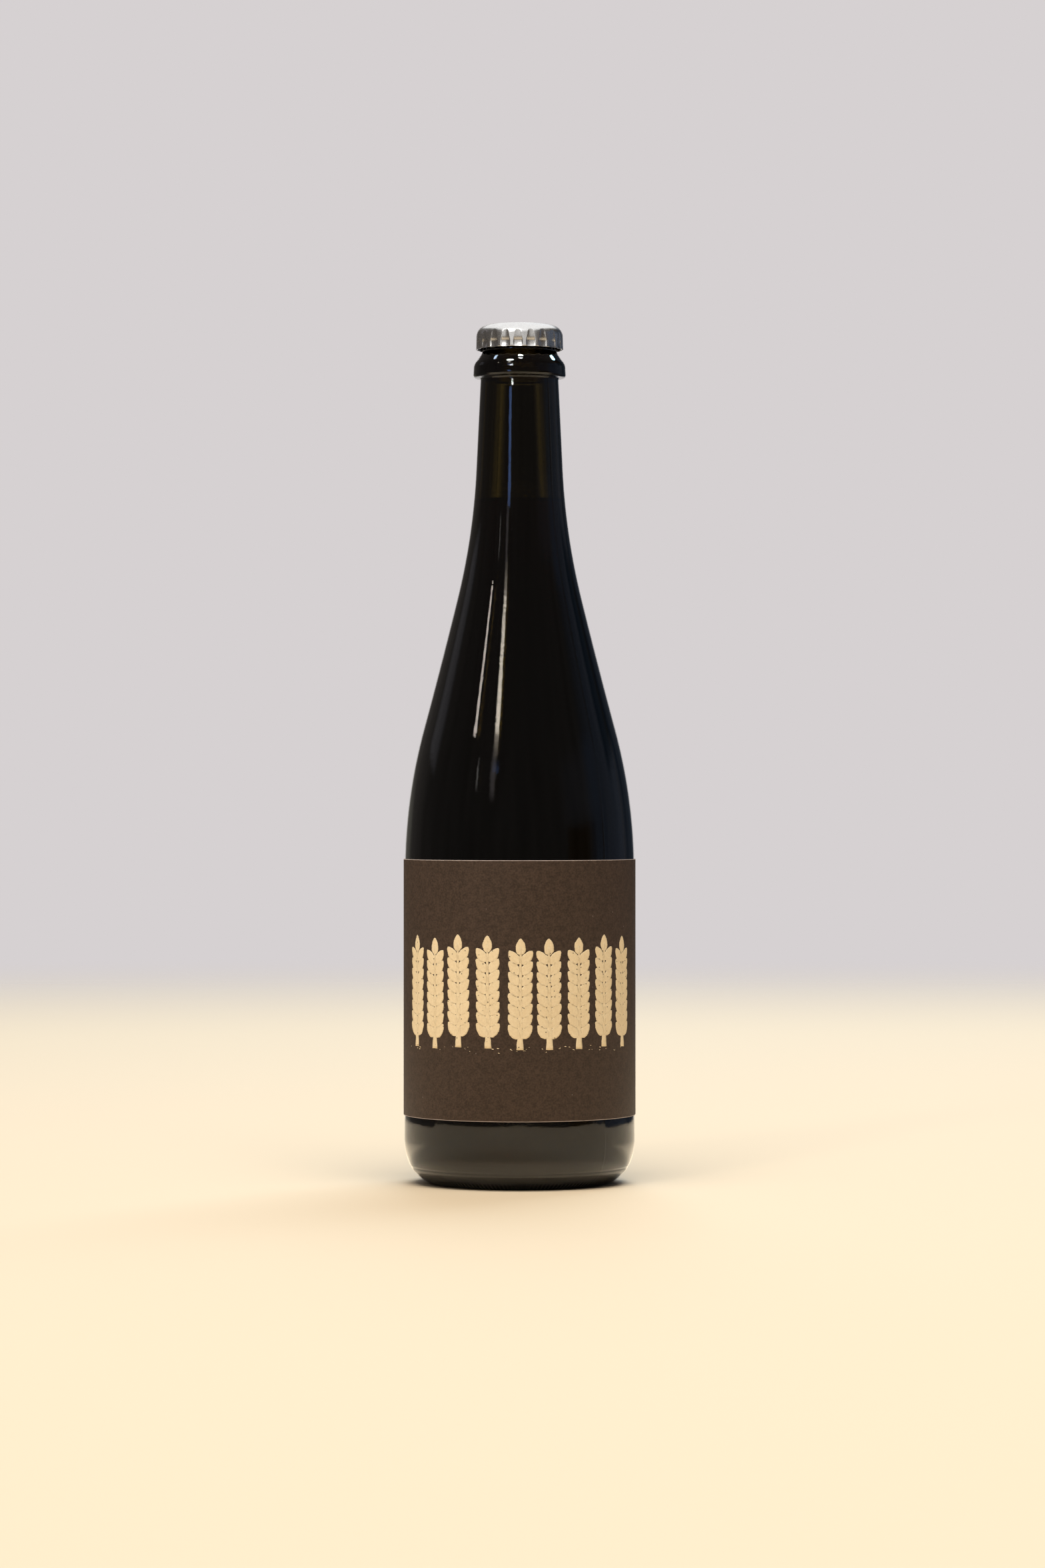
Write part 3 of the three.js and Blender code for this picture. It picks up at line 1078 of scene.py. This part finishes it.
def build_printing():
    tree, given, fields = start_tree("printing", PRINT_SIZES)
    (ears, pitch, low, pairs, step, length, width, spread, lean, stem_length, stem_width) = fields[:11]
    ragged, wrap_radius, thickness, crumbs, seed = fields[11:]
    index = Field(tree, tree.nodes.new("GeometryNodeInputIndex").outputs[0])

    row = (index / 2).floor()
    side = 1 - 2 * (index - 2 * row)
    at_tip = index.above(2 * pairs - 0.5)
    x = side * spread * (1 - at_tip)
    z = low + stem_length + row * step
    points = points_at(tree, 2 * pairs + 1, x, z)
    turn = vector_of(tree, 0.0, side * lean * (1 - at_tip), 0.0)
    grains = set_along(tree, points, oval(tree, length, width), turn)

    wires = {"Size X": 2.0, "Size Y": 2.0, "Vertices X": 4, "Vertices Y": 40}
    bar = add_node(tree, "GeometryNodeMeshGrid", wires).outputs["Mesh"]
    u, v, _ = parts_of(tree, tree.nodes.new("GeometryNodeInputPosition").outputs[0])
    foot = 1 + 0.35 * (-1 * v).ramp(0.7, 1.0) - 0.6 * v.ramp(-0.7, 1.0)
    rise = (v + 1) / 2 * (stem_length + pairs * step)
    spot = vector_of(tree, u * stem_width / 2 * foot, 0.0, low + rise)
    stem = move(tree, bar, Position=spot)

    ear = tree.nodes.new("GeometryNodeJoinGeometry")
    tree.links.new(grains, ear.inputs[0])
    tree.links.new(stem, ear.inputs[0])
    along = (index - (ears - 1) / 2) * pitch + chance(tree, -0.0003, 0.0003, seed, 1)
    places = points_at(tree, ears, along, 0.0)
    sway = vector_of(tree, 0.0, chance(tree, -0.008, 0.008, seed, 2), 0.0)
    wider = chance(tree, 0.97, 1.04, seed, 3)
    taller = chance(tree, 0.992, 1.008, seed, 4)
    stretch = vector_of(tree, wider, 1.0, taller)
    row_of_ears = set_along(tree, places, ear.outputs[0], sway, stretch)

    half_row = ears * pitch / 2
    crumb_x = chance(tree, -1.0, 1.0, seed, 5) * half_row
    crumb_z = low + chance(tree, -1.5, 1.0, seed, 6) * MM
    crumb_turn = vector_of(tree, 0.0, chance(tree, 1.1, 2.0, seed, 7), 0.0)
    crumb_scale = chance(tree, 0.05, 0.16, seed, 8)
    crumb_size = vector_of(tree, crumb_scale, 1.0, crumb_scale)
    crumb = oval(tree, length, width * 0.5, 8, 3)
    spots = points_at(tree, crumbs, crumb_x, crumb_z)
    loose = set_along(tree, spots, crumb, crumb_turn, crumb_size)

    flat = tree.nodes.new("GeometryNodeJoinGeometry")
    tree.links.new(row_of_ears, flat.inputs[0])
    tree.links.new(loose, flat.inputs[0])
    place = tree.nodes.new("GeometryNodeInputPosition").outputs[0]
    x, _, z = parts_of(tree, place)
    sideways = noise(tree, place, RAGGED_WAVES, 3.0) - 0.5
    elsewhere = vector_of(tree, x + NOISE_SHIFT, 0.0, z)
    upward = noise(tree, elsewhere, RAGGED_WAVES, 3.0) - 0.5
    bent = (x + 2 * ragged * sideways) / wrap_radius
    z = z + 2 * ragged * upward
    spot = vector_of(tree, wrap_radius * bent.sin(), -1 * wrap_radius * bent.cos(), z)
    wires = {0: move(tree, flat.outputs[0], Position=spot), "Distance": WELD * MM}
    welded = add_node(tree, "GeometryNodeMergeByDistance", wires)
    wires = {0: welded.outputs[0], "Offset Scale": thickness, "Individual": False}
    raised = add_node(tree, "GeometryNodeExtrudeMesh", wires)
    end_tree(tree, raised.outputs[0], given["Finish"])
    return tree


# %% [markdown]
# ## Cream ink
#
# The ink is a matt cream. Block printing leaves pinholes where the ink didn't reach the paper,
# and the layer is cloudy. The pinholes are dots round scattered points, kept only where a second
# random number allows, so that their spacing doesn't look even.

# %% The finish of the ink, and the print
INK_DEEP = shade(226, 200, 156)
INK_PALE = shade(240, 217, 176)
PINHOLE_WAVES = 620.0
PINHOLE_RIM = (0.1, 0.2)
PINHOLE_RARITY = 0.72


def cream_ink():
    finish, tree, shader, place = new_finish("cream_ink", Roughness=0.55, Specular_IOR_Level=0.35)
    mask, height = place_grain(tree, place, fine=1500.0, broad=110.0, contrast=2.6)
    cream = mix_colours(tree, mask, INK_DEEP, INK_PALE)
    wires = {"Vector": place, "Scale": PINHOLE_WAVES}
    dots = add_node(tree, "ShaderNodeTexVoronoi", wires)
    near = 1 - Field(tree, dots.outputs["Distance"]).ramp(*PINHOLE_RIM)
    pick, _, _ = parts_of(tree, dots.outputs["Color"])
    pinhole = near * pick.above(PINHOLE_RARITY)
    colour = mix_colours(tree, 0.85 * pinhole, cream, PAPER_DEEP)
    tree.links.new(colour, shader.inputs["Base Color"])
    add_bump(tree, shader, height - pinhole, 0.012)
    return finish


printed = run_trees(
    "label_print",
    bpy.data.meshes.new("empty"),
    [(build_printing(), PRINT_SIZES)],
    cream_ink(),
)
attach(printed, "root")

# %% [markdown]
# ## Floor and surroundings
#
# The floor is one pale disc that fades out at its rim, so that no edge or horizon line shows. The
# camera sees an even pale grey beyond it. Glass and metal see something else: dim surroundings
# with a broad pale panel behind the bottle, a bluish one on the right and soft light overhead.
# That is what gives a dark bottle its black middle and its thin bright rim. The Light Path node
# tells the two apart. Where the glass mirrors the floor, mirrored rays also find a painted glare
# on it close to the bottle: an emission that only they see. They also lose the floor behind with
# distance, or it would brighten the underside of the collar.

# %% The floor
FLOOR_R = 3.0
FLOOR_FADE = (1.0, 2.4)
FLOOR_TONE = shade(214, 200, 178)
# the colour of the painted glare, an emission that only mirrored rays see
FLOOR_GLARE = (0.95, 0.78, 0.55, 1.0)
BEHIND = (0.0, 0.05)  # metres back from the bottle's axis
GLARE_FADE = (0.03, 0.25)  # glare fades with the mirrored ray's length, and then the floor itself
MIRRORED_FADE = (0.3, 0.5)
FRONT_GLARE = 0.6  # in front there is glare only near the bottle, and none under its heel
FRONT_FADE = (0.008, 0.03)
CLEAR_OF_HEEL = (0.0395, 0.0415)


def build_floor():
    mesh = bpy.data.meshes.new("floor")
    shell = bmesh.new()
    bmesh.ops.create_circle(shell, cap_ends=True, radius=FLOOR_R, segments=96)
    shell.to_mesh(mesh)
    shell.free()
    floor = bpy.data.objects.new("floor", mesh)
    bpy.context.scene.collection.objects.link(floor)
    finish, tree, shader, place = new_finish("floor", Base_Color=FLOOR_TONE, Roughness=0.7)
    x, y, _ = parts_of(tree, place)
    path = tree.nodes.new("ShaderNodeLightPath").outputs
    way = Field(tree, path["Ray Length"])
    mirrored = Field(tree, path["Is Glossy Ray"])
    behind = mirrored * y.ramp(*BEHIND)
    radius = (x * x + y * y) ** 0.5
    in_front = (mirrored - behind) * radius.ramp(*CLEAR_OF_HEEL) * (1 - way.ramp(*FRONT_FADE))
    glare = behind * (1 - way.ramp(*GLARE_FADE)) + FRONT_GLARE * in_front
    # painted glare: the floor glows, but only for mirrored rays
    glow = add_node(tree, "ShaderNodeEmission", {"Color": FLOOR_GLARE, "Strength": glare})
    rim = radius.ramp(*FLOOR_FADE)
    fade = 1 - (1 - rim) * (1 - behind * way.ramp(*MIRRORED_FADE))
    lit = add_node(tree, "ShaderNodeAddShader", {0: shader.outputs[0], 1: glow.outputs[0]})
    clear = tree.nodes.new("ShaderNodeBsdfTransparent").outputs[0]
    mixed = add_node(tree, "ShaderNodeMixShader", {0: fade, 1: lit.outputs[0], 2: clear})
    tree.links.new(mixed.outputs[0], tree.nodes["Material Output"].inputs["Surface"])
    mesh.materials.append(finish)
    return floor


floor = build_floor()

# %% The surroundings
BACKDROP = shade(214, 209, 210)
DIM_LIGHT = (0.095, 0.085, 0.078)

# A patch of light: its middle, size and soft edges in degrees, and its colour. A colour below
# zero takes light away.
Patch = namedtuple("Patch", "azimuth elevation wide tall soft colour")

PATCHES = [
    Patch(180, 0, 32, 60, (7, 8), (0.67, 0.64, 0.64)),  # the pale panel behind
    Patch(180, 5.8, 22, 4.4, (6, 1), (-0.4, -0.38, -0.38)),  # a darker band across it
    Patch(-158, -20, 30, 48, (14, 4), (0.08, 0.08, 0.065)),  # a faint one further left
    Patch(106, 4, 54, 38, (16, 8), (0.005, 0.035, 0.085)),  # the bluish panel on the right
    Patch(70, 15, 44, 12, (16, 6), (0.02, 0.025, 0.04)),  # a faint band beside it
    Patch(67, 1, 34, 14, (3, 2), (-0.02, -0.032, -0.045)),  # and shade under that
    Patch(152, 10, 34, 120, (8, 8), (-0.055, -0.035, -0.01)),  # shade between the panels
    Patch(126, 25, 22, 27, (8, 4), (-0.055, -0.06, -0.08)),
    Patch(-117, 20, 18, 15, (9, 2.5), (0.15, 0.15, 0.17)),  # a small panel on the left
    Patch(180, 75, 360, 50, (0, 25), (0.1, 0.1, 0.1)),  # soft light overhead
    Patch(-28.5, 35, 5.2, 11, (1.5, 2), (9.8, 8.8, 7.3)),  # the long lamp's bright end
    Patch(-28.5, 33, 5, 14.5, (2, 6), (3.0, 2.6, 2.1)),
    Patch(-29.5, 20, 5, 9, (3, 4), (0.5, 0.45, 0.45)),  # its dim middle
    Patch(-47.5, 19.2, 2.0, 5.0, (1, 3), (1.1, 1.05, 1.0)),  # and a small one beside it
]
THROUGH_GLASS = [  # these are added only to what shines through the bottle
    Patch(-162, 5, 16, 30, (8, 8), (0.4, 0.38, 0.34)),
    Patch(180, 5, 28, 30, (8, 8), (-0.36, -0.35, -0.34)),
    Patch(160, 5, 14, 30, (8, 8), (0.3, 0.27, 0.17)),
]
UNEVEN_WAVES = 0.11
DARKEST = (0.02, 0.02, 0.02)


def shine(tree, azimuth, elevation, spot):
    """The light of one patch, from the azimuth and elevation that a ray goes in."""
    aside = 180 - (180 - (azimuth - spot.azimuth).size()).size()
    above = (elevation - spot.elevation).size()
    soft_aside, soft_above = spot.soft
    across = (spot.wide / 2 - aside).ramp(-soft_aside / 2, soft_aside / 2)
    upright = (spot.tall / 2 - above).ramp(-soft_above / 2, soft_above / 2)
    return scaled(tree, spot.colour, across * upright)


def build_surroundings():
    world = bpy.data.worlds.new("surroundings")
    bpy.context.scene.world = world
    world.use_nodes = True
    tree = world.node_tree
    direction = tree.nodes.new("ShaderNodeTexCoord").outputs["Generated"]
    x, y, z = parts_of(tree, direction)
    azimuth = x.maths("ARCTAN2", x, -1 * y) * math.degrees(1)
    elevation = z.maths("ARCSINE", z) * math.degrees(1)
    path = tree.nodes.new("ShaderNodeLightPath").outputs
    stretched = vector_of(tree, azimuth, 0.3 * elevation, 0.0)
    uneven = 0.45 + 1.1 * noise(tree, stretched, UNEVEN_WAVES, 3.0)
    light = scaled(tree, DIM_LIGHT, uneven)
    glows = [shine(tree, azimuth, elevation, spot) for spot in PATCHES]
    for spot in THROUGH_GLASS:
        glow = shine(tree, azimuth, elevation, spot)
        glows.append(scaled(tree, glow, path["Is Transmission Ray"]))
    for glow in glows:
        light = add_node(tree, "ShaderNodeVectorMath", {0: light, 1: glow}, operation="ADD").outputs[0]
    light = add_node(tree, "ShaderNodeVectorMath", {0: light, 1: DARKEST}, operation="MAXIMUM").outputs[0]
    colour = mix_colours(tree, Field(tree, path["Is Camera Ray"]), light, BACKDROP)
    tree.links.new(colour, tree.nodes["Background"].inputs["Color"])


build_surroundings()

# %% [markdown]
# ## Lights
#
# Each material gets lamps of its own. Large soft ones light the paper and its ink, others the
# floor: those hang high, so that the heel keeps the floor under it dark. Dark glass would show
# each of them as a grey haze, so it has only small ones to mirror, which draw the streaks down the
# shoulder and the sparks on the collar. The satin cap wants something between the two. A lamp is
# given as a patch of the sky, by azimuth and elevation as seen from a height on the bottle's axis,
# and by its brightness, and its power follows from its brightness and area. A focused lamp shines
# only into a cone about its middle, which makes its middle brighter for the same power.

# %% Hang the lamps
RECEIVERS = {"paper": [label, printed], "floor": [floor], "glass": [glass], "cap": [cap]}
MIRRORED = ("glass", "cap")


def build_receivers():
    made = {}
    for use, objects in RECEIVERS.items():
        made[use] = bpy.data.collections.new("lit_" + use)
        for lit in objects:
            made[use].objects.link(lit)
    return made


LIT = build_receivers()


def hang_lamp(use, name, azimuth, elevation, wide, tall, brightness, colour=(1, 1, 1), **extra):
    """A lamp for one material, wide and tall in degrees; extra: metres away, aimed at mm, cone."""
    away = extra.get("away", 3.0)
    light = bpy.data.lights.new(name, "AREA")
    light.shape = "RECTANGLE"
    light.size = 2 * away * math.tan(math.radians(wide / 2))
    light.size_y = 2 * away * math.tan(math.radians(tall / 2))
    light.energy = brightness * light.size * light.size_y * math.pi
    light.color = colour
    if "cone" in extra:
        half = math.radians(extra["cone"] / 2)
        light.spread = 2 * half
        light.energy *= (math.tan(half) - half) / math.tan(half)
    lamp = bpy.data.objects.new(name, light)
    bpy.context.scene.collection.objects.link(lamp)
    around = math.radians(azimuth)
    up = math.radians(elevation)
    towards = Vector((math.sin(around) * math.cos(up), -math.cos(around) * math.cos(up), math.sin(up)))
    lamp.location = Vector((0, 0, extra.get("aim", 200) * MM)) + away * towards
    lamp.rotation_euler = towards.to_track_quat("Z", "Y").to_euler()
    lamp.visible_camera = False
    lamp.visible_diffuse = use not in MIRRORED
    lamp.visible_glossy = use in MIRRORED
    lamp.visible_transmission = use in MIRRORED
    lamp.light_linking.receiver_collection = LIT[use]
    print(f"{name}: {light.size:.3f} by {light.size_y:.3f} m, {light.energy:.2f} W")


WARM = (1.0, 0.87, 0.78)
CYAN = (0.5, 0.85, 1.0)
BLUE = (0.26, 0.44, 1.0)

hang_lamp("paper", "paper_front", -28, 36, 56, 40, 2.3)
hang_lamp("paper", "paper_left", -88, 36, 44, 36, 1.1)
hang_lamp("paper", "paper_right", 80, 36, 44, 36, 1.0)
hang_lamp("paper", "paper_behind", 170, 40, 50, 36, 1.6)
hang_lamp("paper", "paper_overhead", 0, 88, 60, 60, 2.1)
hang_lamp("floor", "floor_overhead", 0, 68, 44, 44, 7.6, (1.0, 0.9, 0.76))
hang_lamp("floor", "floor_behind", 165, 50, 36, 30, 8.0, (0.75, 0.88, 1.0))
hang_lamp("glass", "streak", -31.5, 53, 13, 12, 110, aim=302)
hang_lamp("glass", "streak_low_end", -26.2, 10.7, 7, 4.6, 2.9, BLUE, away=0.6, aim=272, cone=26)
hang_lamp("glass", "streak_dot", -20.5, 10.9, 6, 0.3, 130, away=0.3, aim=296.2, cone=24)
hang_lamp("glass", "second_streak", -57.3, 27.4, 3.0, 4.2, 9.5, WARM)
hang_lamp("glass", "spark_overhead", 8, 75.5, 7, 5, 160, (1.0, 1.0, 0.9), aim=304)
hang_lamp("glass", "spark_left", -110, 54.5, 9, 4, 14, (0.6, 0.75, 1.0), aim=304)
hang_lamp("glass", "spark_right", 134, 39.5, 13, 6.5, 25, CYAN, aim=304)
hang_lamp("cap", "cap_overhead", 0, 88, 96, 120, 1.3, (0.97, 0.98, 1.0), aim=310)
hang_lamp("cap", "cap_front", 0, 16, 80, 36, 0.6, aim=310)
hang_lamp("cap", "cap_spot", -21, 27, 36, 8, 7, aim=310)

# %% [markdown]
# ## Camera
#
# A long lens from nearly two metres, a little below the middle of the bottle, looking level. A
# point on the horizon is at the camera's own height, so the horizon's line in the image and the
# bottle's place across it give the camera's tilt and turn.

# %% Place the camera
IMAGE_W = 1568
IMAGE_H = 2352
SENSOR = 36.0
LENS = 102.55
CAMERA_DISTANCE = 1.651
CAMERA_HEIGHT = 0.1406
HORIZON_ROW = 1203
BOTTLE_COLUMN = 779.6

pixels_per_slope = LENS / SENSOR * IMAGE_H
pitch_up = math.atan((HORIZON_ROW - IMAGE_H / 2) / pixels_per_slope)
yaw_right = math.atan((IMAGE_W / 2 - BOTTLE_COLUMN) / pixels_per_slope)

camera_data = bpy.data.cameras.new("camera")
camera_data.lens = LENS
camera_data.sensor_width = SENSOR
camera = bpy.data.objects.new("camera", camera_data)
bpy.context.scene.collection.objects.link(camera)
camera.location = (0, -CAMERA_DISTANCE, CAMERA_HEIGHT)
camera.rotation_euler = (math.pi / 2 + pitch_up, 0, -yaw_right)
bpy.context.scene.camera = camera
bpy.context.scene.view_settings.view_transform = "Standard"

print(f"camera tilts {math.degrees(pitch_up):.2f} and turns {math.degrees(yaw_right):.2f} degrees")
